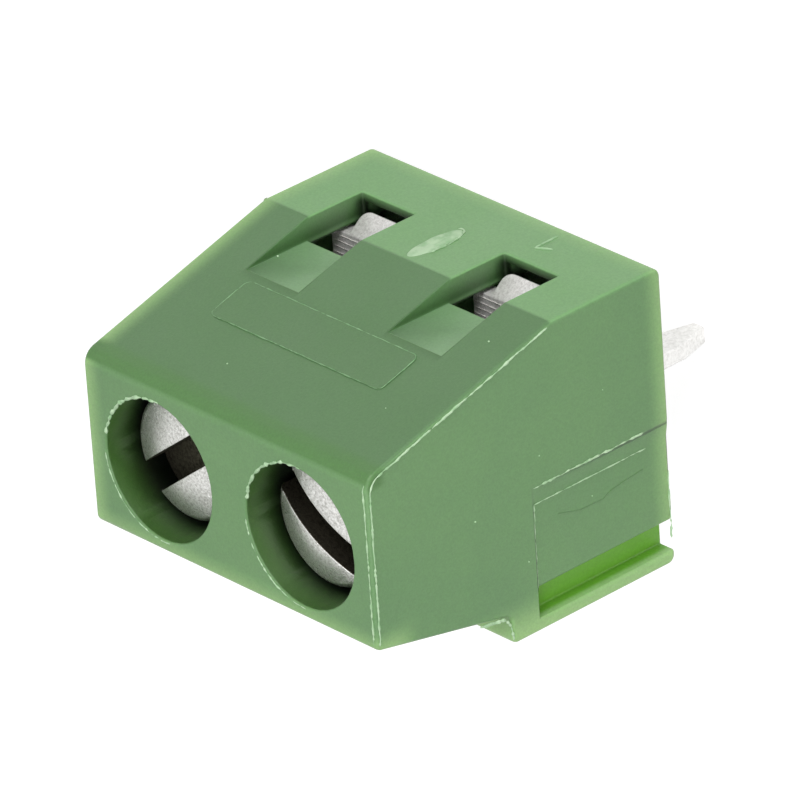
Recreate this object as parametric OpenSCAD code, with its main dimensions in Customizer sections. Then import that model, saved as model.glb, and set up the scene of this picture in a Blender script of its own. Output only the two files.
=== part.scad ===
// Two-pole screw terminal block for a printed circuit board.
// The screws are driven from the top (+Z), the wires enter from the front (-Y)
// and the solder pins point down (-Z). Z = 0 is the board's surface, and the
// origin lies midway between the two solder pins. Lengths are in millimetres.

/* [Body] */
// Distance from pole to pole
pitch = 5.08; // [5.0:0.01:5.6]
// Depth of the body at the board, front to back
body_depth = 8.15; // [8.0:0.05:9.5]
// Height of the body above the board
body_height = 10; // [9.8:0.1:10.8]
// Height at which the front face starts to lean back
brow_height = 3.8; // [3.3:0.05:4.2]
// Distance from the front face to the front edge of the top face
top_set_back = 1.78; // [1.4:0.02:1.9]
// Depth of the top face, front to back
top_depth = 4.67; // [4.5:0.01:5.2]
// Height of the ledge that runs along the back
ledge_height = 5.62; // [5.0:0.02:6.2]
// Depth of the ledge that runs along the back
ledge_depth = 0.8; // [0.5:0.05:1.0]
// Radius of the edge between the leaning face and the top face
brow_r = 0.45; // [0.2:0.05:0.6]
// Radius of the body's other long edges
edge_r = 0.2; // [0.1:0.05:0.25]
// Height of the feet that hold the underside off the board
foot_height = 0.1; // [0.05:0.01:0.2]
// Side length of each corner foot
foot_size = 0.55; // [0.4:0.05:0.6]

/* [Wire entry] */
// Width of the wire entry and of the funnel above it
entry_w = 1.9; // [1.7:0.05:2.1]
// Height of the wire entry
entry_h = 1.9; // [1.8:0.05:2.1]
// Height of the entry's sill above the board
sill_height = 1.97; // [1.85:0.01:2.2]
// Depth of the funnel in front of the entry
funnel_depth = 0.65; // [0.5:0.05:0.7]
// Height at which the funnel runs out of the leaning face
funnel_top = 5.92; // [5.4:0.02:6.3]
// Thickness of the wall that the entry goes through
front_wall = 0.75; // [0.7:0.05:0.9]

/* [Screw] */
// Distance from the front face to the screw's axis
screw_set_back = 4.2; // [4.1:0.05:4.3]
// Diameter of the access bore over the screw
bore_d = 3.8; // [3.6:0.05:4.0]
// Diameter of the screw's head
head_d = 3.4; // [3.1:0.05:3.5]
// Height of the screw's head, crown included
head_height = 1.67; // [1.5:0.01:1.8]
// Depth of the crown's top below the top face
head_drop = 0.58; // [0.4:0.02:0.8]
// Rise of the head's crown
crown_rise = 0.25; // [0.1:0.05:0.4]
// Radius of the rim of the head
rim_r = 0.2; // [0.1:0.05:0.3]
// Width of the driver slot
slot_w = 0.82; // [0.6:0.02:0.9]
// Depth of the driver slot
slot_depth = 0.95; // [0.6:0.05:1.1]
// Outer diameter of the screw's thread
thread_d = 2.5; // [2.2:0.05:2.6]
// Angles of the two driver slots about Z, left pole first
slot_angles = [149, 37];

/* [Tension sleeve] */
// Outer width of the sleeve
sleeve_w = 3.6; // [3.5:0.05:3.7]
// Length of the sleeve along the wire
sleeve_len = 3.1; // [2.8:0.05:3.3]
// Thickness of the sleeve's side walls
sleeve_wall = 0.4; // [0.3:0.02:0.4]
// Thickness of the sleeve's floor
floor_t = 0.45; // [0.35:0.05:0.6]
// Height of the sleeve's floor above the entry's sill, as it stands
floor_lift = 0.73; // [0.6:0.01:0.9]
// Travel of the sleeve from there down to its open stop
travel_down = 0.7; // [0.5:0.02:0.7]
// Travel of the sleeve from there up to its closed stop
travel_up = 1.1; // [0.8:0.02:1.1]
// Width of the lip that leads the wire onto the sleeve's floor
lip_w = 1.5; // [1.2:0.05:1.6]
// Length of the lip
lip_len = 0.75; // [0.6:0.05:0.8]
// Thickness of the lip
lip_t = 0.3; // [0.2:0.05:0.35]
// Slope of the lip below the level
lip_slope = 51; // [45:1:60]

/* [Contact] */
// Distance from the front face to the solder pin's centre
pin_set_back = 4.1; // [4.0:0.05:4.3]
// Thickness of the contact's strip
strip_t = 0.45; // [0.35:0.05:0.55]
// Width of the bar that the wire is clamped against
bar_w = 2.5; // [2.2:0.05:2.6]
// Width of the contact's base, which seats in the body
base_w = 4.1; // [3.95:0.05:4.2]
// Width of the solder pin
pin_w = 0.9; // [0.7:0.05:1.1]
// Length of the solder pin below the board's surface
pin_len = 3.5; // [3.0:0.1:5.0]
// Length of the pin's tapered end
pin_taper = 0.95; // [0.5:0.05:1.2]
// Width of the pin at its tip
pin_tip_w = 0.38; // [0.3:0.02:0.6]

/* [Side joint] */
// Width of the groove that takes the next block's tongue
groove_w = 0.82; // [0.7:0.02:0.9]
// Depth of the groove
groove_depth = 0.5; // [0.4:0.02:0.5]
// Distance from the back face to the groove
groove_set_in = 0.35; // [0.3:0.01:0.5]
// Height of the groove's closed end
groove_height = 4.67; // [4.2:0.01:5.0]
// Clearance between the tongue and the groove, each way
joint_gap = 0.08; // [0.05:0.01:0.12]
// Height of the shallow panel beside the groove, along Y
panel_w = 2.3; // [2.0:0.05:2.6]
// Depth of that shallow panel
panel_depth = 0.08; // [0.05:0.01:0.12]

/* [Hidden] */
$fn = 96;
// Points on each rounded corner of the body's outline
corner_steps = 6;
// Overshoot of a cut past the face that it opens
over = 1;
// Gap between a loose piece and what it is beside
gap = 0.1;
// Gap between a seated piece and its seat
seat_gap = 0.05;
// Radial gap between the screw and the sleeve's tapped hole
thread_gap = 0.05;
// Radius of the bends in the contact's strip, on the inside
bend_r = 0.12;
// Radius of the rounded corners of the sleeve and of its lip
sleeve_r = 0.35;
// Chamfer of the screw's end
end_chamfer = 0.3;
// Gap between the sleeve and the contact's upright
upright_gap = 0.4;
// Inset of the corner feet from the body's edges
foot_inset = 0.15;

pole_x = [-pitch / 2, pitch / 2];
body_w = 2 * pitch;
top_back = top_set_back + top_depth;
ledge_front = body_depth - ledge_depth;
entry_top = sill_height + entry_h;

// Heights, from the board up
base_bottom = foot_height;
base_top = base_bottom + strip_t;
bar_bottom = entry_top + gap;
bar_top = bar_bottom + strip_t;
floor_top = sill_height + floor_lift;
cap_bottom = bar_top + gap + travel_down;
head_top = body_height - head_drop;
head_bottom = head_top - head_height;
chamber_top = head_bottom - seat_gap;
cap_top = chamber_top - 2 * gap - travel_up;
screw_end = bar_top + seat_gap;

// Distances from the front face
sleeve_front = screw_set_back - sleeve_len / 2;
sleeve_back = screw_set_back + sleeve_len / 2;
upright_back = sleeve_back + upright_gap + strip_t;
upright_front = upright_back - strip_t;
pin_front = pin_set_back - strip_t / 2;
tray_front = front_wall + gap;
bar_front = tray_front + 6 * gap;
base_front = tray_front;
lip_nose = tray_front - lip_len * cos(lip_slope);

// Widths
chamber_w = sleeve_w + 2 * gap;
sleeve_inner_w = sleeve_w - 2 * sleeve_wall;
groove_front = body_depth - groove_set_in - groove_w;
lip_nose_r = 0.4 * lip_w / 2;

// Moves a shape from front-face distances to the origin between the pins.
module in_frame() {
    translate([0, -pin_set_back, 0])
        children();
}

// Extrudes an outline drawn in Y and Z along X, centred on X = 0.
module along_x(width) {
    rotate([90, 0, 90])
        linear_extrude(width, center = true)
            children();
}

// Extrudes an outline drawn in X and Z along Y, from y0 to y1.
module along_y(y0, y1) {
    translate([0, y1, 0])
        rotate([90, 0, 0])
            linear_extrude(y1 - y0)
                children();
}

// A box centred on X, between two corners in Y and Z.
module x_box(width, y0, y1, z0, z1) {
    translate([-width / 2, y0, z0])
        cube([width, y1 - y0, z1 - z0]);
}

// The points of one rounded corner at b, between the corners a and c.
function corner(a, b, c, r) =
    let (
        u = (a - b) / norm(a - b),
        v = (c - b) / norm(c - b),
        half = acos(u * v) / 2,
        centre = b + (u + v) / norm(u + v) * r / sin(half),
        from = b + u * r / tan(half) - centre,
        turn = (u[0] * v[1] - u[1] * v[0] > 0 ? -1 : 1) * (180 - 2 * half)
    )
    [for (i = [0 : corner_steps])
        let (t = turn * i / corner_steps)
        centre + [from[0] * cos(t) - from[1] * sin(t), from[0] * sin(t) + from[1] * cos(t)]];

// An outline with the given corners, each rounded by its own radius.
function rounded(points, radii) =
    let (n = len(points))
    [for (i = [0 : n - 1])
        each corner(points[(i + n - 1) % n], points[i], points[(i + 1) % n], radii[i])];

// The body's side outline, from front-face distances and heights.
module body_outline() {
    points = [
        [0, foot_height], [0, brow_height], [top_set_back, body_height], [top_back, body_height],
        [ledge_front, ledge_height], [body_depth, ledge_height], [body_depth, foot_height]
    ];
    polygon(rounded(points, [edge_r, edge_r, brow_r, edge_r, edge_r, edge_r, edge_r]));
}

// Everything that is cut out of the body for one pole.
module pole_cavity() {
    // Access bore
    translate([0, screw_set_back, chamber_top - over])
        cylinder(d = bore_d, h = body_height - chamber_top + 2 * over);
    // Room for the sleeve and its travel
    x_box(chamber_w, sleeve_front - gap, sleeve_back + gap, foot_height, chamber_top);
    // Room for the contact's bar and upright
    x_box(chamber_w, bar_front - gap, upright_back + seat_gap, foot_height, bar_top + gap);
    // Room under the bar, from the front wall back, open to the board
    x_box(chamber_w, front_wall, upright_back, foot_height - over, entry_top);
    // Seat of the contact's base
    x_box(base_w + 2 * seat_gap, base_front - seat_gap, upright_back + seat_gap,
        foot_height - over, base_top + seat_gap);
    // Wire entry
    x_box(entry_w, -over, front_wall + over, sill_height, entry_top);
    // Funnel that leads down to the entry
    x_box(entry_w, -over, funnel_depth, entry_top - over, funnel_top);
    // Path of the sleeve's lip, from the board up to the entry
    x_box(lip_w + 2 * gap, lip_nose - gap, front_wall + over, foot_height - over, sill_height + over);
}

// The groove for the next block's tongue, and the shallow panel beside it.
module side_cuts() {
    translate([-pitch - over, groove_front, -over])
        cube([groove_depth + over, groove_w, groove_height + over]);
    translate([-pitch - over, groove_front - panel_w, -over])
        cube([panel_depth + over, panel_w + over / 10, groove_height + over]);
}

// The tongue on the other side, which fits the groove of the next block.
module side_tongue() {
    width = groove_w - 2 * joint_gap;
    translate([pitch - seat_gap, groove_front + joint_gap, foot_height + edge_r])
        cube([groove_depth - joint_gap + seat_gap, width, groove_height - joint_gap - foot_height - edge_r]);
}

// The corner feet, and the rib between the poles that is level with them.
module feet() {
    for (side = [-1, 1], y = [foot_inset + edge_r, groove_front - foot_inset - foot_size])
        translate([side * (pitch - foot_inset - foot_size / 2) - foot_size / 2, y, 0])
            cube([foot_size, foot_size, foot_height + edge_r]);
    x_box((pitch - chamber_w) / 2, 1, body_depth - 1, 0, foot_height + edge_r);
}

module housing() {
    color([0.36, 0.58, 0.33])
        in_frame()
            union() {
                difference() {
                    along_x(body_w)
                        body_outline();
                    side_cuts();
                    for (x = pole_x)
                        translate([x, 0, 0])
                            pole_cavity();
                }
                side_tongue();
                difference() {
                    feet();
                    for (x = pole_x)
                        translate([x, 0, 0])
                            pole_cavity();
                }
            }
}

// Half of the head's section, right of the screw's axis, with its underside at zero.
module head_section() {
    flat_r = head_d / 2 - rim_r;
    shoulder = head_height - crown_rise;
    crown_r = (flat_r * flat_r + crown_rise * crown_rise) / (2 * crown_rise);
    square([head_d / 2, shoulder - rim_r]);
    square([flat_r, shoulder]);
    translate([flat_r, shoulder - rim_r])
        intersection() {
            circle(rim_r);
            square(rim_r);
        }
    intersection() {
        translate([0, head_height - crown_r])
            circle(crown_r, $fn = 180);
        translate([0, shoulder - rim_r])
            square([flat_r, crown_rise + rim_r]);
    }
}

// One clamp screw at the middle of X, with its driver slot turned by the angle.
module clamp_screw(angle) {
    color([0.80, 0.80, 0.79])
        in_frame()
            translate([0, screw_set_back, 0])
                difference() {
                    union() {
                        translate([0, 0, head_bottom])
                            rotate_extrude()
                                head_section();
                        translate([0, 0, screw_end + end_chamfer])
                            cylinder(d = thread_d, h = head_bottom - screw_end - end_chamfer + seat_gap);
                        translate([0, 0, screw_end])
                            cylinder(d1 = thread_d - 2 * end_chamfer, d2 = thread_d, h = end_chamfer);
                    }
                    translate([0, 0, head_top - slot_depth])
                        rotate([0, 0, angle])
                            translate([-head_d, -slot_w / 2, 0])
                                cube([2 * head_d, slot_w, slot_depth + over]);
                }
}

// A rectangle in X and Z with rounded corners, centred on X.
module rounded_ring_section(width, z0, z1, r) {
    for (side = [-1, 1], z = [z0 + r, z1 - r])
        translate([side * (width / 2 - r), z])
            circle(r);
    translate([-width / 2 + r, z0])
        square([width - 2 * r, z1 - z0]);
    translate([-width / 2, z0 + r])
        square([width, z1 - z0 - 2 * r]);
}

// The lip's outline, seen square on, from its root at zero to its nose.
module lip_outline() {
    translate([-lip_w / 2, 0])
        square([lip_w, lip_len - lip_nose_r]);
    translate([-lip_w / 2 + lip_nose_r, 0])
        square([lip_w - 2 * lip_nose_r, lip_len]);
    for (side = [-1, 1])
        translate([side * (lip_w / 2 - lip_nose_r), lip_len - lip_nose_r])
            circle(lip_nose_r);
}

// One tension sleeve at the middle of X: a closed ring with a tray and a lip in front.
module tension_sleeve() {
    color([0.76, 0.75, 0.74])
        in_frame()
            union() {
                difference() {
                    along_y(sleeve_front, sleeve_back)
                        rounded_ring_section(sleeve_w, floor_top - floor_t, cap_top, sleeve_r);
                    x_box(sleeve_inner_w, sleeve_front - over, sleeve_back + over, floor_top, cap_bottom);
                    translate([0, screw_set_back, cap_bottom - over])
                        cylinder(d = thread_d + 2 * thread_gap, h = cap_top - cap_bottom + 2 * over);
                }
                x_box(sleeve_inner_w, tray_front, sleeve_front + over, floor_top - floor_t, floor_top);
                translate([0, tray_front, floor_top])
                    rotate([180 + lip_slope, 0, 0])
                        linear_extrude(lip_t)
                            lip_outline();
                // Web between the tray's front edge and the lip's underside
                x_box(lip_w, tray_front, tray_front + lip_t, floor_top - floor_t, floor_top);
            }
}

// A rectangle in Y and Z whose two corners at the back are rounded.
module back_rounded(y0, y1, z0, z1, r) {
    translate([y0, z0])
        square([y1 - y0 - r, z1 - z0]);
    translate([y0, z0 + r])
        square([y1 - y0, z1 - z0 - 2 * r]);
    for (z = [z0 + r, z1 - r])
        translate([y1 - r, z])
            circle(r);
}

// One contact at the middle of X: the bar, its upright, the base and the solder pin.
module contact() {
    outer_r = bend_r + strip_t;
    pin_half = pin_w / 2;
    tip_half = pin_tip_w / 2;
    color([0.78, 0.77, 0.75])
        in_frame()
            union() {
                // Bar, upright and base, folded from one strip
                along_x(bar_w)
                    difference() {
                        back_rounded(bar_front, upright_back, base_bottom, bar_top, outer_r);
                        back_rounded(bar_front - over, upright_front, base_top, bar_bottom, bend_r);
                    }
                // Plate of the base, which seats in the body and closes it towards the board
                x_box(base_w, base_front, upright_back - outer_r, base_bottom, base_top);
                // Solder pin with its tapered end
                along_y(pin_front, pin_front + strip_t)
                    polygon([
                        [-pin_half, base_top], [-pin_half, pin_taper - pin_len], [-tip_half, -pin_len],
                        [tip_half, -pin_len], [pin_half, pin_taper - pin_len], [pin_half, base_top]
                    ]);
            }
}

housing();
translate([pole_x[0], 0, 0]) clamp_screw(slot_angles[0]);  // clamp_screw_left
translate([pole_x[1], 0, 0]) clamp_screw(slot_angles[1]);  // clamp_screw_right
translate([pole_x[0], 0, 0]) tension_sleeve();  // tension_sleeve_left
translate([pole_x[1], 0, 0]) tension_sleeve();  // tension_sleeve_right
translate([pole_x[0], 0, 0]) contact();  // contact_left
translate([pole_x[1], 0, 0]) contact();  // contact_right
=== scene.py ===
"""Dresses a two-pole screw terminal block for a printed circuit board.

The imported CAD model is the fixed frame: Z = 0 is the board's surface, the screws
are driven from +Z, the wires enter from -Y and the solder pins point down.
Builders work in millimetres and the finished meshes are in metres.
"""

from __future__ import annotations

import logging
import math
from dataclasses import dataclass
from enum import Enum
from typing import Callable, Sequence

import bmesh
import bpy
from mathutils import Matrix, Vector, geometry, noise

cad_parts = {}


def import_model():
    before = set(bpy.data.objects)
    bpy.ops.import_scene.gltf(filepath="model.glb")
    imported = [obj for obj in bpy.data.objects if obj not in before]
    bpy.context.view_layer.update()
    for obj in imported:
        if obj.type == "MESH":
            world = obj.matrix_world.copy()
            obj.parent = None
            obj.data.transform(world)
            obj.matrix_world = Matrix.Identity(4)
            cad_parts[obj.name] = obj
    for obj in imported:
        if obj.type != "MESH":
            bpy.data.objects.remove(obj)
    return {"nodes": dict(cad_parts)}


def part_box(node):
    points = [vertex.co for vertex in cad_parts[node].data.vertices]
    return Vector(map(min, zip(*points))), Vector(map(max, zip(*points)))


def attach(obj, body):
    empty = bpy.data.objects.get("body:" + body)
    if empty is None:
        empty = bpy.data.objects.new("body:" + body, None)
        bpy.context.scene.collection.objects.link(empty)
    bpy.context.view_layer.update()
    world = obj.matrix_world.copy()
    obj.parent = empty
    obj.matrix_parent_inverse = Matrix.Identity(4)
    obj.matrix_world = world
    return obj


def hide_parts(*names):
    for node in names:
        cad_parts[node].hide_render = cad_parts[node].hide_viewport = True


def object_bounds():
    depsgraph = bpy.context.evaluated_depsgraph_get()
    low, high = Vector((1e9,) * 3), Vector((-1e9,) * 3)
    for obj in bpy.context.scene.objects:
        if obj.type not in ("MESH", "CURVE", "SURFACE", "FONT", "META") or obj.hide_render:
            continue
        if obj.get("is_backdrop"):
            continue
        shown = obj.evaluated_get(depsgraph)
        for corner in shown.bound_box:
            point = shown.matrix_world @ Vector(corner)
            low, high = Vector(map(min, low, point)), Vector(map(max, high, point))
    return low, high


LOG = logging.getLogger("screw_terminal")
MM = 0.001


class Pole(Enum):
    """The two poles, as seen from the wire side."""

    LEFT = "left"
    RIGHT = "right"


class Slot(Enum):
    """The record's material slots."""

    BODY = "green_polyamide"
    SCREW = "zinc_plated_steel"
    SLEEVE = "nickel_plated_sleeve"
    CONTACT = "tinned_copper_alloy"


@dataclass(frozen=True)
class BlockPlan:
    """Where the block's main faces lie, in millimetres, for the pieces that share them."""

    front: float
    side: float
    top: float
    pole: float
    screw_y: float
    head_top: float
    shank_end: float
    tray_top: float
    tray_front: float = -3.25
    tray_rise: float = 0.772
    brow: float = 3.8
    lean_run: float = 1.78
    lean_r: float = 0.45
    top_back: float = 2.35
    ledge_y: float = 3.25
    bore_r: float = 1.9
    entry_half: float = 0.95
    funnel_depth: float = 0.65
    groove_end: float = 4.67

    @classmethod
    def read(cls) -> BlockPlan:
        """Reads the faces' places from the CAD nodes' boxes.

        Returns:
            The plan.
        """
        low, high = (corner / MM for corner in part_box("housing"))
        screw_low, screw_high = (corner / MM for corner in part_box("clamp_screw_right"))
        sleeve_low, _ = (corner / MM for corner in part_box("tension_sleeve_right"))
        axis = (screw_low + screw_high) / 2
        return cls(
            front=low.y, side=-low.x, top=high.z, pole=axis.x, screw_y=axis.y,
            head_top=screw_high.z, shank_end=screw_low.z, tray_top=sleeve_low.z + cls.tray_rise,
        )

    def pole_x(self, pole: Pole) -> float:
        """The middle of a pole along X."""
        return self.pole * (1 if pole is Pole.RIGHT else -1)

    def lean_y(self, z: float) -> float:
        """Where the leaning face lies along Y at a height."""
        return self.front + self.lean_run * (z - self.brow) / (self.top - self.brow)

    def lean_normal(self) -> Vector:
        """The outward normal of the leaning face."""
        return Vector((0, -(self.top - self.brow), self.lean_run)).normalized()

    def lean_edge(self, x: float, inset: float) -> list[Vector]:
        """The edge of the leaning face and of the top face, round the corner between them.

        Args:
            x: Place of the edge along X.
            inset: How far the line lies under the two faces.

        Returns:
            Points from the brow up and along the top face to its back.
        """
        corner = Vector((x, self.lean_y(self.top) + inset, self.top - inset))
        down = Vector((0, -self.lean_run, -(self.top - self.brow))).normalized()
        reach = 0.75 * self.lean_r
        start, end = corner + down * reach, corner + Vector((0, reach, 0))
        pull = 0.55
        turn = geometry.interpolate_bezier(
            start, start.lerp(corner, pull), end.lerp(corner, pull), end, 7
        )
        foot = Vector((x, self.front + inset, self.brow + 0.1))
        back = Vector((x, self.top_back - 0.12, self.top - inset))
        return [foot, *turn, back]


# ---------------------------------------------------------------- small tools


def linear(hex_code: str) -> tuple[float, float, float, float]:
    """Turns an sRGB hex value into the linear colour that a shader takes.

    Args:
        hex_code: Six hex digits.

    Returns:
        Linear red, green and blue, and an alpha of one.
    """
    parts = [int(hex_code[i : i + 2], 16) / 255 for i in (0, 2, 4)]
    curve = [p / 12.92 if p <= 0.04045 else ((p + 0.055) / 1.055) ** 2.4 for p in parts]
    return curve[0], curve[1], curve[2], 1.0


def per_mm(size: float) -> float:
    """The pattern scale, in repeats per metre, whose features are about size millimetres."""
    return 1.0 / (size * MM)


def add_node(
    tree: bpy.types.NodeTree,
    kind: str,
    settings: dict | None = None,
    links: dict | None = None,
    stops: Sequence[tuple[float, tuple]] = (),
) -> bpy.types.Node:
    """Adds a node with its settings and links.

    Args:
        tree: The node tree to add to.
        kind: The node's type name, without its ShaderNode prefix.
        settings: Values by input name or index, or by attribute name.
        links: Output sockets by input name or index.
        stops: Places and linear colours, for a node that holds a colour ramp.

    Returns:
        The new node.
    """
    node = tree.nodes.new("ShaderNode" + kind)
    for key, value in (settings or {}).items():
        if not isinstance(key, int) and hasattr(node, key):
            setattr(node, key, value)
        else:
            node.inputs[key].default_value = value
    for key, socket in (links or {}).items():
        tree.links.new(socket, node.inputs[key])
    for i, (place, colour) in enumerate(stops):
        elements = node.color_ramp.elements
        element = elements[i] if i < 2 else elements.new(place)
        element.position = place
        element.color = colour
    return node


def zone(tree: bpy.types.NodeTree, terms: Sequence[tuple]) -> bpy.types.NodeSocket:
    """A mask that is one where every term is met.

    Args:
        tree: The node tree to add to.
        terms: A socket in metres, and the places in millimetres at which the
            term starts and is fully met, which may run up or down.

    Returns:
        The mask's socket.
    """
    mask = None
    for socket, start, full in terms:
        limits = {1: start * MM, 2: full * MM, "interpolation_type": "SMOOTHSTEP"}
        rise = add_node(tree, "MapRange", limits, {0: socket}).outputs[0]
        if mask is not None:
            rise = add_node(tree, "Math", {"operation": "MULTIPLY"}, {0: mask, 1: rise}).outputs[0]
        mask = rise
    return mask


def from_bmesh(name: str, bm: bmesh.types.BMesh, sharp: float = 32.0) -> bpy.types.Object:
    """Turns a bmesh in millimetres into an object in metres at the origin.

    Args:
        name: The object's name.
        bm: The bmesh, which is freed.
        sharp: Angle in degrees over which an edge stays sharp.

    Returns:
        The linked object.
    """
    bmesh.ops.scale(bm, vec=(MM, MM, MM), verts=bm.verts)
    mesh = bpy.data.meshes.new(name)
    bm.to_mesh(mesh)
    bm.free()
    for polygon in mesh.polygons:
        polygon.use_smooth = True
    mesh.set_sharp_from_angle(angle=math.radians(sharp))
    obj = bpy.data.objects.new(name, mesh)
    bpy.context.scene.collection.objects.link(obj)
    return obj


def copy_of_node(node: bpy.types.Object) -> bmesh.types.BMesh:
    """A copy of a CAD node's mesh, merged and with its flat faces whole, in millimetres."""
    bm = bmesh.new()
    bm.from_mesh(node.data)
    bmesh.ops.scale(bm, vec=(1 / MM, 1 / MM, 1 / MM), verts=bm.verts)
    bmesh.ops.remove_doubles(bm, verts=bm.verts, dist=1e-4)
    bmesh.ops.dissolve_limit(
        bm, angle_limit=math.radians(0.5), verts=bm.verts, edges=bm.edges, delimit=set()
    )
    return bm


def round_edges(
    bm: bmesh.types.BMesh,
    width: float,
    wanted: Callable[[Vector], bool],
    segments: int = 2,
    angle: float = 40.0,
) -> None:
    """Rounds the sharp edges that a test picks.

    Args:
        bm: The bmesh, in millimetres.
        width: Width of the rounding.
        wanted: Says whether the edge with this middle is rounded.
        segments: Steps across the rounding.
        angle: Smallest fold, in degrees, of an edge that is rounded.
    """
    limit = math.radians(angle)
    edges = [
        e for e in bm.edges
        if e.is_manifold and e.calc_face_angle() > limit and wanted((e.verts[0].co + e.verts[1].co) / 2)
    ]
    bmesh.ops.bevel(
        bm, geom=edges, offset=width, offset_type="OFFSET", segments=segments, profile=0.5,
        affect="EDGES", clamp_overlap=False, loop_slide=True, material=-1,
    )


def even_steps(path: Sequence[Vector], step: float) -> list[Vector]:
    """Points at even steps along a path.

    Args:
        path: The path's corners.
        step: Distance between neighbours, about.

    Returns:
        The points, with the path's corners among them.
    """
    points = [path[0].copy()]
    for start, end in zip(path, path[1:]):
        count = max(1, round((end - start).length / step))
        points += [start.lerp(end, i / count) for i in range(1, count + 1)]
    return points


def add_bead(
    bm: bmesh.types.BMesh,
    path: Sequence[Vector],
    radius: float,
    seed: float,
    rough: float = 0.5,
    step: float = 0.07,
) -> None:
    """Extrudes a thin, uneven bead along a path.

    Args:
        bm: The bmesh to add to, in millimetres.
        path: The path's corners.
        radius: The bead's middle radius.
        seed: Picks the pattern of the unevenness.
        rough: How far the radius and the line wander, as a share of the radius.
        step: Distance between the bead's rings.
    """
    points = [
        point + noise.noise_vector(point * 5 + Vector((seed, 0, 0))) * radius * rough
        for point in even_steps(path, step)
    ]
    ahead = (points[1] - points[0]).normalized()
    turn = Vector((0, 0, 1)).rotation_difference(ahead).to_matrix().to_4x4()
    ring = bmesh.ops.create_circle(
        bm, cap_ends=True, segments=6, radius=radius * 0.35, matrix=Matrix.Translation(points[0]) @ turn
    )
    face = ring["verts"][0].link_faces[0]
    size = radius * 0.35
    for i, (here, there) in enumerate(zip(points, points[1:])):
        grown = bmesh.ops.extrude_face_region(bm, geom=[face])["geom"]
        verts = [g for g in grown if isinstance(g, bmesh.types.BMVert)]
        face = next(g for g in grown if isinstance(g, bmesh.types.BMFace))
        bmesh.ops.translate(bm, vec=there - here, verts=verts)
        heading = (there - here).normalized()
        bmesh.ops.rotate(bm, cent=there, matrix=ahead.rotation_difference(heading).to_matrix(), verts=verts)
        ahead = heading
        coarse = noise.noise(there * 9 + Vector((0, seed, 0)))
        fine = noise.noise(there * 31 + Vector((0, 0, seed)))
        wave = coarse + 0.6 * fine
        tail = 0.35 if i == len(points) - 2 else 1.0
        wanted = radius * max(0.25, 1 + rough * 1.6 * wave) * tail
        grow = wanted / size
        bmesh.ops.scale(bm, vec=(grow, grow, grow), space=Matrix.Translation(-there), verts=verts)
        size = wanted
    bmesh.ops.recalc_face_normals(bm, faces=bm.faces)


def finish_piece(
    obj: bpy.types.Object,
    body: str,
    slot: Slot,
    *materials: bpy.types.Material,
    even: bool = True,
) -> bpy.types.Object:
    """Gives a piece its materials and the body that it moves with.

    Args:
        obj: The piece.
        body: The CAD body that it rides on.
        slot: The record's slot of its finish; not used.
        materials: Its materials, in the order of its faces' indices.
        even: Whether large flat faces keep flat shading beside rounded edges.

    Returns:
        The same object.
    """
    if not obj.data.materials:
        for material in materials:
            obj.data.materials.append(material)
    if even:
        weighted = obj.modifiers.new("even_faces", "WEIGHTED_NORMAL")
        weighted.keep_sharp = True
        weighted.weight = 100
    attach(obj, body)
    LOG.info("%s: %d faces on %s", obj.name, len(obj.data.polygons), body)
    return obj


# ------------------------------------------------------------------ finishes


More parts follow.
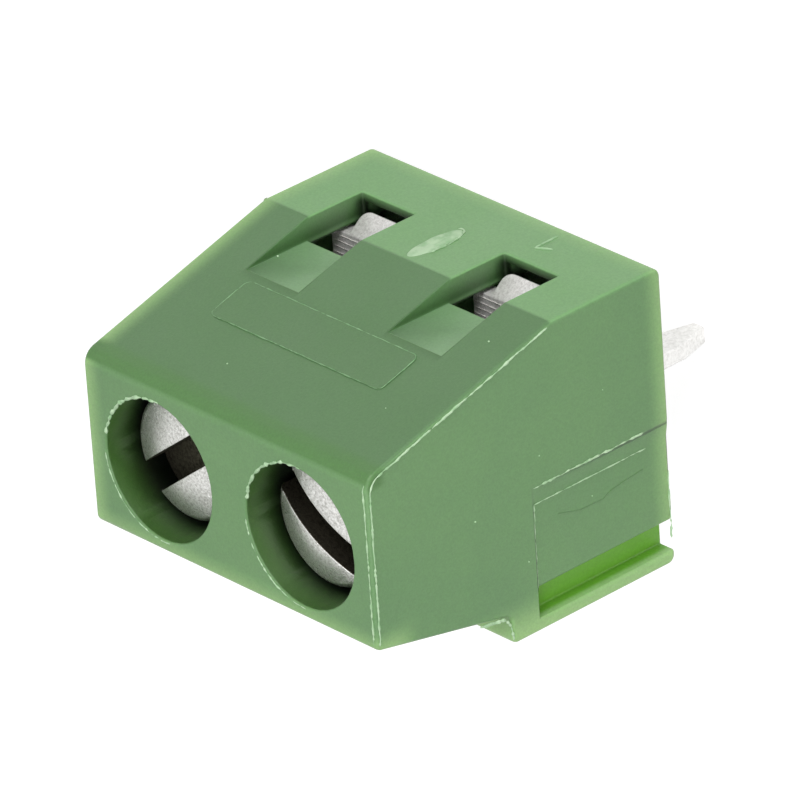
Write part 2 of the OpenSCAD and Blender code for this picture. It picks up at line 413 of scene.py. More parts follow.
@dataclass(frozen=True)
class GreenPolyamide:
    """Injection moulded polyamide, filled and through coloured.

    It is waxy and slightly translucent. Its whole skin has a fine grain from the
    mould's spark erosion, a few hundredths of a millimetre. Over its one colour lie
    painted light and shade: lighter, yellower edges for light from behind, the leaning
    face darker and the wire face lighter, a darker band on the edge above the leaning
    face, a lighter face at the back of each funnel, a more saturated green in the groove,
    and darker walls, nearly black deeper down, in the bores and the wire entries.
    """

    plan: BlockPlan
    name: str = "moulded_green_polyamide"
    colour: str = "69915E"
    deep: str = "628B59"
    # The colours from here down to the groove's are painted light and painted shade over the plastic's own
    # colour
    painted_edge_light: str = "9CC480"
    lean_face_painted_shade: str = "557A4D"
    wire_face_painted_light: str = "78A56D"
    brow: str = "507A42"
    funnel_painted_light: str = "7FA678"
    bore: str = "35591F"
    deep_bore_painted_shade: str = "0A1505"
    entry_painted_shade: str = "3E6234"
    deep_entry_painted_shade: str = "16290F"
    groove: str = "6CAA33"
    rough: float = 0.46
    translucency: float = 0.35
    reach: float = 0.35
    # The real grit is about 0.03 mm: drawn coarser, so that it shows
    grain: float = 0.06
    grain_height: float = 0.006

    def build(self) -> bpy.types.Material:
        """Makes the material.

        Returns:
            The material.
        """
        material = bpy.data.materials.new(self.name)
        material.use_nodes = True
        tree = material.node_tree
        shader = tree.nodes["Principled BSDF"]
        place = add_node(tree, "TexCoord").outputs["Object"]
        # Slow drift of the colour over a few millimetres, as the melt flowed
        drift = add_node(tree, "TexNoise", {"Scale": per_mm(3.0), "Detail": 3.0}, {"Vector": place})
        tone = add_node(
            tree, "ValToRGB", links={"Fac": drift.outputs["Fac"]},
            stops=[(0.35, linear(self.deep)), (0.65, linear(self.colour))],
        ).outputs["Color"]
        for mask, colour in self._layers(tree, place):
            tone = add_node(
                tree, "Mix", {"data_type": "RGBA", 7: linear(colour)}, {0: mask, 6: tone}
            ).outputs[2]
        # Fine grain of the mould's spark erosion
        grit = add_node(
            tree, "TexNoise", {"Scale": per_mm(self.grain), "Detail": 4.0, "Roughness": 0.6},
            {"Vector": place},
        )
        speck = add_node(
            tree, "ValToRGB", links={"Fac": grit.outputs["Fac"]},
            stops=[(0.3, (0.89, 0.89, 0.89, 1)), (0.75, (1.08, 1.08, 1.08, 1))],
        )
        speckled = add_node(
            tree, "Mix", {"data_type": "RGBA", "blend_type": "MULTIPLY", 0: 1.0},
            {6: tone, 7: speck.outputs["Color"]},
        )
        tree.links.new(speckled.outputs[2], shader.inputs["Base Color"])
        gloss = add_node(
            tree, "MapRange", {1: 0.3, 2: 0.7, 3: self.rough - 0.05, 4: self.rough + 0.06},
            {0: drift.outputs["Fac"]},
        )
        tree.links.new(gloss.outputs[0], shader.inputs["Roughness"])
        wave = add_node(
            tree, "TexNoise", {"Scale": per_mm(1.4), "Detail": 2.0, "Distortion": 0.4}, {"Vector": place}
        )
        soft = add_node(
            tree, "Bump", {"Strength": 0.5, "Distance": 0.03 * MM}, {"Height": wave.outputs["Fac"]}
        )
        fine = add_node(
            tree, "Bump", {"Strength": 1.0, "Distance": self.grain_height * MM},
            {"Height": grit.outputs["Fac"], "Normal": soft.outputs["Normal"]},
        )
        tree.links.new(fine.outputs["Normal"], shader.inputs["Normal"])
        shader.inputs["IOR"].default_value = 1.53
        shader.inputs["Subsurface Weight"].default_value = self.translucency
        shader.inputs["Subsurface Radius"].default_value = (0.55, 1.0, 0.35)
        shader.inputs["Subsurface Scale"].default_value = self.reach * MM
        return material

    def _layers(self, tree: bpy.types.NodeTree, place: bpy.types.NodeSocket) -> list[tuple]:
        """The painted light and shade that lie over the base colour, from the outer skin inwards.

        Args:
            tree: The node tree.
            place: The socket of the Object coordinates.

        Returns:
            Pairs of a mask's socket and a colour.
        """
        plan = self.plan
        split = add_node(tree, "SeparateXYZ", links={"Vector": place})
        x, y, z = (split.outputs[name] for name in "XYZ")
        out = add_node(tree, "Math", {"operation": "ABSOLUTE"}, {0: x}).outputs[0]
        from_pole = add_node(
            tree, "Math", {"operation": "SUBTRACT", 1: plan.pole * MM}, {0: out}
        ).outputs[0]
        off = add_node(tree, "Math", {"operation": "ABSOLUTE"}, {0: from_pole}).outputs[0]
        from_screw = add_node(
            tree, "Math", {"operation": "SUBTRACT", 1: plan.screw_y * MM}, {0: y}
        ).outputs[0]
        flat = add_node(tree, "CombineXYZ", links={0: from_pole, 1: from_screw}).outputs[0]
        radius = add_node(tree, "VectorMath", {"operation": "LENGTH"}, {0: flat}).outputs["Value"]
        mouth = plan.front + plan.funnel_depth
        wall = plan.entry_half
        in_pocket = [(off, wall + 0.06, wall + 0.01), (z, 1.8, 1.95), (z, 7.6, 7.5)]
        in_bore = [(radius, plan.bore_r + 0.06, plan.bore_r + 0.01), (z, 7.6, 7.8)]
        lean = plan.lean_normal()
        slant = add_node(
            tree, "VectorMath", {"operation": "DOT_PRODUCT", 1: tuple(lean)}, {0: place}
        ).outputs["Value"]
        skin = lean.dot(Vector((0, plan.front, plan.brow)))
        over_brow, under_brow = plan.brow + 0.02, plan.brow - 0.1
        on_lean = [(slant, skin - 0.06, skin - 0.03), (z, under_brow, over_brow)]
        on_wire_face = [(y, plan.front + 0.06, plan.front + 0.03), (z, over_brow, under_brow)]
        return [
            # Painted shade on the leaning face and painted light on the wire face, for how the lamps fall on
            # them
            (zone(tree, on_lean), self.lean_face_painted_shade),
            (zone(tree, on_wire_face), self.wire_face_painted_light),
            # Painted light: lighter, yellower edges against the board, on the far side and at the back, for
            # the light that would come through the plastic from behind
            (zone(tree, [(z, 0.8, -0.2)]), self.painted_edge_light),
            (zone(tree, [(x, plan.side - 0.7, plan.side + 0.2)]), self.painted_edge_light),
            (zone(tree, [(y, plan.ledge_y - 0.5, plan.ledge_y + 0.9)]), self.painted_edge_light),
            (zone(tree, [(y, plan.top_back - 0.6, plan.top_back + 0.3), (z, 8.5, 9.6)]), self.painted_edge_light),
            # Painted shade: a darker band along the rounded edge at the top of the leaning face
            (zone(tree, [(z, 9.3, 9.6), (z, 9.99, 9.93), (y, -1.9, -2.1)]), self.brow),
            # Painted shade on the walls just inside each wire entry
            (zone(tree, [*in_pocket, (y, plan.front + 0.02, plan.front + 0.6),
                         (y, mouth + 0.05, mouth - 0.1)]), self.entry_painted_shade),
            # Painted light on the face at the back of each entry's funnel, which faces the wire side lamp
            (zone(tree, [*in_pocket, (y, mouth - 0.03, mouth - 0.01), (y, mouth + 0.05, mouth + 0.02),
                         (z, 5.99, 5.93), (z, 3.85, 3.9)]), self.funnel_painted_light),
            # Painted shade, nearly black, deep in each wire entry and along its bottom; neither mask has a
            # limit towards the back, so they also darken the rear face behind each entry
            (zone(tree, [*in_pocket, (y, mouth + 0.02, mouth + 0.1), (z, 5.0, 4.6)]), self.deep_entry_painted_shade),
            (zone(tree, [*in_pocket, (y, plan.front, plan.front + 0.3), (z, 2.4, 2.0)]), self.deep_entry_painted_shade),
            # Painted shade inside each screw bore, darker below the rim and nearly black deeper down
            (zone(tree, [*in_bore, (z, plan.top + 0.02, plan.top - 0.06)]), self.bore),
            (zone(tree, [*in_bore, (z, plan.top - 0.1, plan.top - 1.2)]), self.deep_bore_painted_shade),
            # Painted light: the inner walls of the groove are painted a more saturated green, for how light
            # falls inside it; the mask has no limit towards the back, so it reaches the rear face too
            (zone(tree, [(x, 0.12 - plan.side, 0.3 - plan.side), (x, -4.0, -4.3), (y, 2.8, 2.9),
                         (z, 4.8, 4.6)]), self.groove),
        ]


@dataclass(frozen=True)
class WhitenedPolyamide:
    """The same polyamide where it was stretched thin or torn at the mould's joint.

    Torn polyamide turns milky: nearly matt and much lighter than the block.
    """

    name: str = "whitened_polyamide"
    colour: str = "B4D0AB"
    rough: float = 0.6

    def build(self) -> bpy.types.Material:
        """Makes the material.

        Returns:
            The material.
        """
        material = bpy.data.materials.new(self.name)
        material.use_nodes = True
        tree = material.node_tree
        shader = tree.nodes["Principled BSDF"]
        place = add_node(tree, "TexCoord").outputs["Object"]
        patch = add_node(tree, "TexNoise", {"Scale": per_mm(0.25), "Detail": 3.0}, {"Vector": place})
        dull = linear(self.colour)
        tone = add_node(
            tree, "ValToRGB", links={"Fac": patch.outputs["Fac"]},
            stops=[(0.3, (dull[0] * 0.6, dull[1] * 0.75, dull[2] * 0.6, 1)), (0.6, dull)],
        )
        tree.links.new(tone.outputs["Color"], shader.inputs["Base Color"])
        shader.inputs["Roughness"].default_value = self.rough
        shader.inputs["IOR"].default_value = 1.53
        return material


@dataclass(frozen=True)
class PlatedMetal:
    """A bright plated metal with a fine tumbled grain.

    The plating covers the part's grain and burrs, so highlights break up into
    small flecks while the whole still reads as a mid silver.
    """

    name: str
    colour: str
    dark: str
    rough: float
    grain: float
    grain_height: float
    metallic: float = 1.0

    def build(self) -> bpy.types.Material:
        """Makes the material.

        Returns:
            The material.
        """
        material = bpy.data.materials.new(self.name)
        material.use_nodes = True
        tree = material.node_tree
        shader = tree.nodes["Principled BSDF"]
        place = add_node(tree, "TexCoord").outputs["Object"]
        grit = add_node(
            tree, "TexNoise",
            {"Scale": per_mm(self.grain), "Detail": 5.0, "Roughness": 0.62, "Distortion": 0.6},
            {"Vector": place},
        )
        tone = add_node(
            tree, "ValToRGB", links={"Fac": grit.outputs["Fac"]},
            stops=[(0.32, linear(self.dark)), (0.62, linear(self.colour))],
        )
        tree.links.new(tone.outputs["Color"], shader.inputs["Base Color"])
        gloss = add_node(
            tree, "MapRange", {1: 0.3, 2: 0.7, 3: self.rough + 0.12, 4: self.rough - 0.06},
            {0: grit.outputs["Fac"]},
        )
        tree.links.new(gloss.outputs[0], shader.inputs["Roughness"])
        bump = add_node(
            tree, "Bump", {"Strength": 1.0, "Distance": self.grain_height * MM},
            {"Height": grit.outputs["Fac"]},
        )
        tree.links.new(bump.outputs["Normal"], shader.inputs["Normal"])
        shader.inputs["Metallic"].default_value = self.metallic
        return material


# ------------------------------------------------------------ sub-assemblies


@dataclass
class HousingShell:
    """The moulded body, rounded at its edges."""

    plan: BlockPlan
    cad: bpy.types.Object
    material: bpy.types.Material
    outer_round: float = 0.11
    inner_round: float = 0.05
    panel_front: float = 0.58
    panel_slope: float = 0.46

    def build(self) -> bpy.types.Object:
        """Builds the body from the CAD node.

        Returns:
            The body, which replaces the CAD node.
        """
        bm = copy_of_node(self.cad)
        self._slope_panel_edge(bm)
        round_edges(bm, self.outer_round, self._on_skin, 3, 28)
        round_edges(bm, self.inner_round, self._on_mouth)
        body = from_bmesh("housing_shell", bm, 40)
        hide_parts("housing")
        return finish_piece(body, "block", Slot.BODY, self.material)

    def _slope_panel_edge(self, bm: bmesh.types.BMesh) -> None:
        """Lets the shallow side panel run out in a slope towards the front."""
        for vert in bm.verts:
            on_side = vert.co.x < 0.01 - self.plan.side
            low = vert.co.z < self.plan.groove_end + 0.02
            if on_side and low and abs(vert.co.y - self.panel_front) < 0.02:
                vert.co.y -= self.panel_slope

    def _on_skin(self, mid: Vector) -> bool:
        """Whether an edge lies on the body's outer sides, away from its openings."""
        return abs(abs(mid.x) - self.plan.side) < 0.02 and mid.z > 0.05

    def _on_mouth(self, mid: Vector) -> bool:
        """Whether an edge is the rim of an opening that shows from outside."""
        rim_of_bore = mid.z > self.plan.top - 0.02
        front = mid.y < self.plan.front + 0.6 and mid.z > 1.9
        inside = 0.7 < abs(mid.x) < 4.4 and mid.z < 7.8
        groove = mid.x < 0.55 - self.plan.side
        return rim_of_bore or front or (groove and not inside)


@dataclass
class MouldMarks:
    """What the moulding leaves on the skin: flash, burrs, a gate scar, specks and a flow line."""

    plan: BlockPlan
    white: bpy.types.Material
    faint: bpy.types.Material
    green: bpy.types.Material
    line_r: float = 0.022
    flash_r: float = 0.035
    edge_round: float = 0.11
    scar_at: tuple[float, float] = (0.05, 2.75)
    scar_size: tuple[float, float, float] = (0.27, 0.03, 0.9)
    field_size: tuple[float, float] = (6.1, 1.4)
    field_x: float = 0.05
    field_z: float = 6.86
    field_rise: float = 0.02
    field_corner: float = 0.18
    field_rim_r: float = 0.009
    tick_corner: tuple[float, float] = (-2.02, 1.35)
    tick_ends: tuple[tuple[float, float], ...] = ((-2.0, 0.55), (-2.4, 1.12))
    tick_r: float = 0.035

    def build(self) -> None:
        """Builds every mark, each riding on the block."""
        self._piece("parting_flash", self._parting_lines, self.white)
        self._piece("bore_rim_flash", self._bore_flash, self.white)
        self._piece("side_step_burrs", self._step_burrs, self.white)
        self._piece("gate_scar", self._gate_scar, self.white)
        self._piece("moulding_specks", self._specks, self.white)
        self._piece("bare_label_field", self._label_field, self.green)
        # The tick is drawn in the whitened polyamide: a painted highlight for the light that its raised
        # edges catch
        self._piece("cavity_tick", self._tick, self.white)
        self._piece("label_field_rim", self._label_rim, self.faint)
        self._piece("flow_line", self._flow_line, self.green)

    def _piece(
        self, name: str, shape: Callable[[bmesh.types.BMesh], None], material: bpy.types.Material
    ) -> None:
        """Builds one mark and lets it ride on the block.

        Args:
            name: The piece's name.
            shape: Adds the mark's shape to a bmesh in millimetres.
            material: Its material.
        """
        bm = bmesh.new()
        shape(bm)
        finish_piece(from_bmesh(name, bm), "block", Slot.BODY, material, even=False)

    def _parting_lines(self, bm: bmesh.types.BMesh) -> None:
        """Thin torn lines where two halves of the mould met, along the edge of the side."""
        side = self.plan.side
        add_bead(bm, self.plan.lean_edge(-side, self.edge_round), self.line_r, 1.0, 0.8)
        add_bead(bm, self.plan.lean_edge(self.edge_round - side, 0.0)[4:], self.line_r * 0.8, 2.0, 0.9)

    def _bore_flash(self, bm: bmesh.types.BMesh) -> None:
        """Torn flash on the front of each bore's rim, and a thin line on its far side."""
        for pole in Pole:
            for first, last, radius, out, seed in (
                (265, 350, self.flash_r, 0.02, 3.0),
                (5, 100, self.line_r * 0.8, 0.07, 5.0),
            ):
                path = [
                    Vector((
                        self.plan.pole_x(pole) + (self.plan.bore_r + out) * math.cos(math.radians(a)),
                        self.plan.screw_y + (self.plan.bore_r + out) * math.sin(math.radians(a)),
                        self.plan.top - 0.008,
                    ))
                    for a in range(first, last, 4)
                ]
                add_bead(bm, path, radius, seed + self.plan.pole_x(pole), 0.9, 0.06)

    def _step_burrs(self, bm: bmesh.types.BMesh) -> None:
        """Torn lines at the panel's step and at the ledge, on the grooved side."""
        x = -self.plan.side
        front = self.plan.front
        for path, radius in (
            (((4.2, 0.95), (4.2, 4.66)), self.line_r * 0.9),
            (((4.7, 0.83), (4.7, 4.6)), self.line_r * 0.55),
            (((4.7, 4.6), (5.6, 4.64), (7.0, 4.63)), self.line_r * 0.75),
            (((7.2, 6.67), (7.33, 5.85), (7.6, 5.66), (8.0, 5.6)), self.flash_r * 0.8),
            (((5.6, 0.13), (7.5, 0.13)), self.line_r * 0.8),
        ):
            line = [Vector((x - (0 if z > 4.65 or y < 4.3 else -0.07), front + y, z)) for y, z in path]
            add_bead(bm, line, radius, radius * 90, 0.9)

    def _gate_scar(self, bm: bmesh.types.BMesh) -> None:
        """The scar of the gate between the wire entries: a streaked pad with a curl of flash."""
        x, z = self.scar_at
        wide, thick, tall = self.scar_size
        bmesh.ops.create_icosphere(bm, subdivisions=4, radius=1.0)
        bmesh.ops.scale(bm, vec=(wide, thick, tall), verts=bm.verts)
        for vert in bm.verts:
            streak = noise.noise(Vector((vert.co.x * 16, 0, vert.co.z * 2.2)))
            vert.co.y -= 1.2 * thick * streak * (1 - abs(vert.co.z) / tall)
        bmesh.ops.translate(bm, vec=(x, self.plan.front, z), verts=bm.verts)
        curl = [
            Vector((
                x + 1.15 * wide * math.cos(math.radians(a)), self.plan.front - 0.01,
                z + 1.05 * tall * math.sin(math.radians(a)),
            ))
            for a in range(150, 300, 10)
        ]
        add_bead(bm, curl, self.line_r, 8.0, 0.9, 0.06)

    def _specks(self, bm: bmesh.types.BMesh) -> None:
        """A few specks of dust and torn resin on the grooved side and on the leaning face."""
        side = -self.plan.side
        places = [Vector((side, -1.6 + 0.9 * i, 2.2 + (i * 37 % 11) * 0.55)) for i in range(5)]
        on_lean = ((3.1, 5.2), (-3.6, 7.9), (1.3, 8.6), (-4.2, 5.0))
        places += [Vector((x, self.plan.lean_y(z), z)) for x, z in on_lean]
        for i, place in enumerate(places):
            size = 0.018 + 0.006 * (i % 3)
            bmesh.ops.create_icosphere(bm, subdivisions=1, radius=size, matrix=Matrix.Translation(place))

    def _label_field(self, bm: bmesh.types.BMesh) -> None:
        """A bare field, a little proud of the leaning face."""
        wide, tall = self.field_size
        made = bmesh.ops.create_cube(bm, size=1.0)
        bmesh.ops.scale(bm, vec=(wide, 2 * self.field_rise, tall), verts=made["verts"])
        upright = [e for e in bm.edges if abs((e.verts[0].co - e.verts[1].co).normalized().y) > 0.9]
        bmesh.ops.bevel(
            bm, geom=upright, offset=self.field_corner, segments=5, profile=0.5,
            affect="EDGES", material=-1,
        )
        tilt = math.atan2(self.plan.lean_run, self.plan.top - self.plan.brow)
        bmesh.ops.rotate(bm, cent=(0, 0, 0), matrix=Matrix.Rotation(-tilt, 3, "X"), verts=bm.verts)
        middle = (self.field_x, self.plan.lean_y(self.field_z), self.field_z)
        bmesh.ops.translate(bm, vec=middle, verts=bm.verts)

    def _label_rim(self, bm: bmesh.types.BMesh) -> None:
        """A faint ridge round the bare field."""
        wide, tall = self.field_size[0] / 2, self.field_size[1] / 2
        up = Vector((0, self.plan.lean_run, self.plan.top - self.plan.brow)).normalized()
        middle = Vector((self.field_x, self.plan.lean_y(self.field_z), self.field_z))
        middle = middle + self.plan.lean_normal() * self.field_rise
        bend = self.field_corner
        turns = [
            (wide - bend + bend * math.cos(a), tall - bend + bend * math.sin(a))
            for a in (0, 0.5, 1.05, 1.57)
        ]
        corners = [*turns, *((-u, v) for u, v in reversed(turns)), *((-u, -v) for u, v in turns),
                   *((u, -v) for u, v in reversed(turns)), turns[0]]
        path = [middle + Vector((u, 0, 0)) + up * v for u, v in corners]
        add_bead(bm, path, self.field_rim_r, 7.0, 1.0, 0.09)

    def _tick(self, bm: bmesh.types.BMesh) -> None:
        """A small raised tick that a mould cavity leaves near the board."""
        front = self.plan.front - 0.005
        corner_x, corner_z = self.tick_corner
        corner = Vector((corner_x, front, corner_z))
        for x, z in self.tick_ends:
            add_bead(bm, [corner, Vector((x, front, z))], self.tick_r, 4.0, 0.15, 0.1)

    def _flow_line(self, bm: bmesh.types.BMesh) -> None:
        """A faint wavy line where the melt met itself, inside the side panel."""
        front = self.plan.front
        points = ((5.27, 3.84), (5.47, 3.1), (5.49, 2.34), (5.35, 1.99), (5.23, 0.96))
        path = [Vector((0.075 - self.plan.side, front + y, z)) for y, z in points]
        add_bead(bm, path, self.line_r * 0.5, 6.0, 0.5)


@dataclass
class ClampScrew:
    """A slotted clamp screw: the CAD head and a real thread on its shank."""

    plan: BlockPlan
    pole: Pole
    cad: bpy.types.Object
    metal: bpy.types.Material
    slot_metal: bpy.types.Material
    slot_round: float = 0.03
    slot_depth: float = 0.95
    round_above: float = 7.9
    shank_top: float = 7.6
    thread_r: float = 1.24
    core_r: float = 0.98
    thread_pitch: float = 0.45

    def build(self) -> bpy.types.Object:
        """Builds the screw.

        Returns:
            The screw, which replaces the CAD node.
        """
        bm = copy_of_node(self.cad)
        self._mark_slot(bm)
        round_edges(bm, self.slot_round, lambda mid: mid.z > self.round_above, 2, 30)
        cut = bmesh.ops.bisect_plane(
            bm, geom=[*bm.verts, *bm.edges, *bm.faces], dist=1e-5,
            plane_co=(0, 0, self.shank_top), plane_no=(0, 0, 1), clear_inner=True,
        )
        rim = [g for g in cut["geom_cut"] if isinstance(g, bmesh.types.BMEdge)]
        bmesh.ops.contextual_create(bm, geom=rim)
        self._add_thread(bm)
        screw = from_bmesh(f"screw_{self.pole.value}_threaded", bm, 40)
        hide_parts(f"clamp_screw_{self.pole.value}")
        return finish_piece(screw, f"screw_{self.pole.value}", Slot.SCREW, self.metal, self.slot_metal)

    def _mark_slot(self, bm: bmesh.types.BMesh) -> None:
        """Gives the faces inside the driver slot the second material, which is painted shade."""
        bm.normal_update()
        axis = Vector((self.plan.pole_x(self.pole), self.plan.screw_y))
        floor = self.plan.head_top - self.slot_depth
        for face in bm.faces:
            mid = face.calc_center_median()
            wall = abs(face.normal.z) < 0.3 and (mid.xy - axis).length < 1.2
            if mid.z > floor - 0.02 and (wall or mid.z < floor + 0.02):
                face.material_index = 1

    def _add_thread(self, bm: bmesh.types.BMesh) -> None:
        """Adds the core and a helical ridge under the head."""
        axis = Vector((self.plan.pole_x(self.pole), self.plan.screw_y, 0))
        end = self.plan.shank_end
        depth = self.shank_top - end + 0.1
        middle = end + depth / 2
        bmesh.ops.create_cone(
            bm, cap_ends=True, segments=48, radius1=self.core_r, radius2=self.core_r, depth=depth,
            matrix=Matrix.Translation(axis + Vector((0, 0, middle))),
        )
        turns = (depth - 0.55) / self.thread_pitch
        half = self.thread_pitch * 0.44
        start = end + 0.2
        profile = [
            bm.verts.new(axis + Vector((self.core_r - 0.05, 0, start - half))),
            bm.verts.new(axis + Vector((self.thread_r, 0, start - 0.03))),
            bm.verts.new(axis + Vector((self.thread_r, 0, start + 0.03))),
            bm.verts.new(axis + Vector((self.core_r - 0.05, 0, start + half))),
        ]
        face = bm.faces.new(profile)
        steps = int(turns * 36)
        bmesh.ops.spin(
            bm, geom=[face, *face.edges, *face.verts], cent=axis, axis=(0, 0, 1),
            dvec=(0, 0, turns * self.thread_pitch / steps), angle=math.tau * turns, steps=steps,
            use_duplicate=False,
        )
        bmesh.ops.recalc_face_normals(bm, faces=bm.faces)


@dataclass
class TensionSleeve:
    """The clamping sleeve, with a serrated floor and a smooth lip."""

    plan: BlockPlan
    pole: Pole
    cad: bpy.types.Object
    metal: bpy.types.Material
    edge_round: float = 0.045
    ridges: int = 10
    ridge_pitch: float = 0.17
    ridge_r: float = 0.06
    ridge_len: float = 2.7

    def build(self) -> bpy.types.Object:
        """Builds the sleeve.

        Returns:
            The sleeve, which replaces the CAD node.
        """
        bm = copy_of_node(self.cad)
        round_edges(bm, self.edge_round, lambda mid: True)
        self._serrate(bm)
        sleeve = from_bmesh(f"sleeve_{self.pole.value}_formed", bm, 40)
        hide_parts(f"tension_sleeve_{self.pole.value}")
        return finish_piece(sleeve, f"sleeve_{self.pole.value}", Slot.SLEEVE, self.metal)

    def _serrate(self, bm: bmesh.types.BMesh) -> None:
        """Adds the floor's low ridges, which bite into the wire."""
        across = Matrix.Rotation(math.pi / 2, 4, "Y")
        for i in range(self.ridges):
            place = Vector((
                self.plan.pole_x(self.pole) - self.ridge_len / 2,
                self.plan.tray_front + 0.15 + i * self.ridge_pitch,
                self.plan.tray_top - 0.5 * self.ridge_r,
            ))
            made = bmesh.ops.create_circle(
                bm, cap_ends=True, segments=3, radius=self.ridge_r, matrix=Matrix.Translation(place) @ across
            )
            face = made["verts"][0].link_faces[0]
            grown = bmesh.ops.extrude_face_region(bm, geom=[face])["geom"]
            verts = [g for g in grown if isinstance(g, bmesh.types.BMVert)]
            bmesh.ops.translate(bm, vec=(self.ridge_len, 0, 0), verts=verts)


@dataclass
class PinContact:
    """The contact strip with its solder pin, stamped from sheet."""

    pole: Pole
    cad: bpy.types.Object
    metal: bpy.types.Material
    edge_round: float = 0.04

    def build(self) -> bpy.types.Object:
        """Builds the contact.

        Returns:
            The contact, which replaces the CAD node.
        """
        bm = copy_of_node(self.cad)
        round_edges(bm, self.edge_round, lambda mid: True)
        contact = from_bmesh(f"contact_{self.pole.value}_stamped", bm, 40)
        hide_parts(f"contact_{self.pole.value}")
        return finish_piece(contact, "block", Slot.CONTACT, self.metal)


# ------------------------------------------------------------------- studio


@dataclass(frozen=True)
class SoftLamp:
    """A round soft lamp that looks at the block."""

    name: str
    towards: tuple[float, float, float]
    size: float
    level: float
    distance: float = 200.0

    def place(self) -> None:
        """Adds the lamp; a level of one lights a face square to it as its colour is written."""
        data = bpy.data.lights.new(self.name, "AREA")
        data.shape = "DISK"
        data.size = self.size * MM
        data.energy = self.level * math.pi**2 * (self.distance * MM) ** 2
        lamp = bpy.data.objects.new(self.name, data)
        bpy.context.scene.collection.objects.link(lamp)
        spot = Vector(self.towards).normalized() * self.distance * MM
        aim = (-spot).to_track_quat("-Z", "Y").to_matrix().to_4x4()
        lamp.matrix_world = Matrix.Translation(spot) @ aim


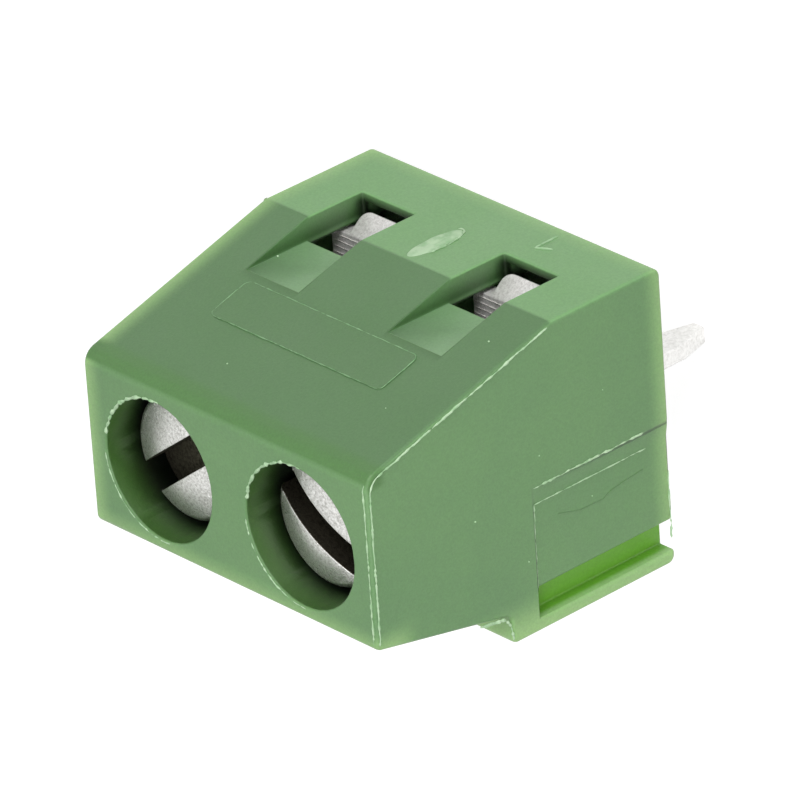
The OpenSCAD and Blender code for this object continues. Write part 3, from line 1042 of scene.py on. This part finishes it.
@dataclass(frozen=True)
class Studio:
    """A pale floor, soft lamps and the camera."""

    floor_z: float
    floor_half: float = 900.0
    floor_colour: str = "A8A8A8"
    lens: float = 467.2935
    eye: tuple[float, float, float] = (-168.6186, -119.7977, 152.0877)
    right: tuple[float, float, float] = (-0.68214638, 0.0613172, -0.72864018)
    down: tuple[float, float, float] = (-0.30677455, 0.88054071, 0.36129965)
    ahead: tuple[float, float, float] = (0.66375122, 0.46998752, -0.5818471)
    sensor: float = 36.0
    world_level: float = 0.38
    floor_lift: float = 0.8
    lamps: tuple[SoftLamp, ...] = (
        SoftLamp("wire_side_lamp", (-0.3, -0.85, 0.43), 120, 0.6),
        SoftLamp("screw_side_lamp", (-0.7, -0.05, 0.71), 160, 0.62),
    )

    def place_camera(self) -> None:
        """Adds the camera at its viewing angle."""
        data = bpy.data.cameras.new("camera")
        data.sensor_width = self.sensor
        data.lens = self.lens
        data.clip_start = 0.01
        data.clip_end = 10.0
        camera = bpy.data.objects.new("camera", data)
        bpy.context.scene.collection.objects.link(camera)
        right, down, ahead = (Vector(v).normalized() for v in (self.right, self.down, self.ahead))
        turned = Matrix((right, -down, -ahead)).transposed().to_4x4()
        camera.matrix_world = Matrix.Translation(Vector(self.eye) * MM) @ turned
        bpy.context.scene.camera = camera

    def lay_floor(self) -> None:
        """Adds the plain floor under the pins."""
        bm = bmesh.new()
        bmesh.ops.create_grid(bm, x_segments=1, y_segments=1, size=self.floor_half)
        bmesh.ops.translate(bm, vec=(0, 0, self.floor_z), verts=bm.verts)
        floor = from_bmesh("studio_floor", bm)
        material = bpy.data.materials.new("matt_grey_floor")
        material.use_nodes = True
        tree = material.node_tree
        shader = tree.nodes["Principled BSDF"]
        shader.inputs["Base Color"].default_value = linear(self.floor_colour)
        shader.inputs["Roughness"].default_value = 0.9
        shader.inputs["Specular IOR Level"].default_value = 0.1
        lift = add_node(
            tree, "MixShader", links={
                0: self._seen(tree),
                1: add_node(tree, "Emission", {"Strength": 0.0}).outputs[0],
                2: add_node(tree, "Emission", {"Strength": self.floor_lift}).outputs[0],
            },
        )
        total = add_node(tree, "AddShader", links={0: shader.outputs[0], 1: lift.outputs[0]})
        tree.links.new(total.outputs[0], tree.nodes["Material Output"].inputs["Surface"])
        floor.data.materials.append(material)
        floor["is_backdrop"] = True

    def light(self) -> None:
        """Adds the world and the soft lamps."""
        world = bpy.data.worlds.new("studio_world")
        world.use_nodes = True
        tree = world.node_tree
        sky = tree.nodes["Background"]
        sky.inputs["Color"].default_value = (1, 1, 1, 1)
        level = add_node(tree, "MapRange", {3: self.world_level, 4: 1.0}, {0: self._seen(tree)})
        tree.links.new(level.outputs[0], sky.inputs["Strength"])
        bpy.context.scene.world = world
        for lamp in self.lamps:
            lamp.place()

    @staticmethod
    def _seen(tree: bpy.types.NodeTree) -> bpy.types.NodeSocket:
        """One where the ray comes from the camera, a mirroring surface or clear matter.

        Args:
            tree: The node tree.

        Returns:
            The mask's socket.
        """
        path = add_node(tree, "LightPath")
        seen = path.outputs["Is Camera Ray"]
        for name in ("Is Glossy Ray", "Is Transmission Ray"):
            seen = add_node(
                tree, "Math", {"operation": "MAXIMUM"}, {0: seen, 1: path.outputs[name]}
            ).outputs[0]
        return seen

    def settle_colour(self) -> None:
        """Keeps colours as they are written."""
        bpy.context.scene.view_settings.view_transform = "Standard"


def main() -> None:
    """Loads the frame and builds every piece around it."""
    logging.basicConfig(level=logging.INFO, format="%(message)s")
    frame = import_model()
    cad_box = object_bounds()
    nodes = frame["nodes"]
    plan = BlockPlan.read()
    studio = Studio(floor_z=cad_box[0].z / MM)
    studio.settle_colour()
    studio.place_camera()
    studio.lay_floor()
    studio.light()
    green = GreenPolyamide(plan).build()
    white = WhitenedPolyamide().build()
    faint = WhitenedPolyamide("slightly_whitened_polyamide", "86AC80").build()
    zinc = PlatedMetal("zinc_plated_steel", "F4F4F1", "B2B1AB", 0.3, 0.07, 0.02).build()
    # Painted shade for the inside of the driver slot
    slot = PlatedMetal("shaded_zinc_in_slot", "5E5A4E", "302D25", 0.5, 0.09, 0.01).build()
    nickel = PlatedMetal("nickel_plated_sheet", "ECEAE8", "C4C1BE", 0.45, 0.07, 0.008, 0.35).build()
    tin = PlatedMetal("tinned_copper_alloy", "F0EFED", "DAD9D6", 0.36, 0.09, 0.003).build()
    HousingShell(plan, nodes["housing"], green).build()
    MouldMarks(plan, white, faint, green).build()
    for pole in Pole:
        ClampScrew(plan, pole, nodes[f"clamp_screw_{pole.value}"], zinc, slot).build()
        TensionSleeve(plan, pole, nodes[f"tension_sleeve_{pole.value}"], nickel).build()
        PinContact(pole, nodes[f"contact_{pole.value}"], tin).build()


if __name__ == "__main__":
    main()
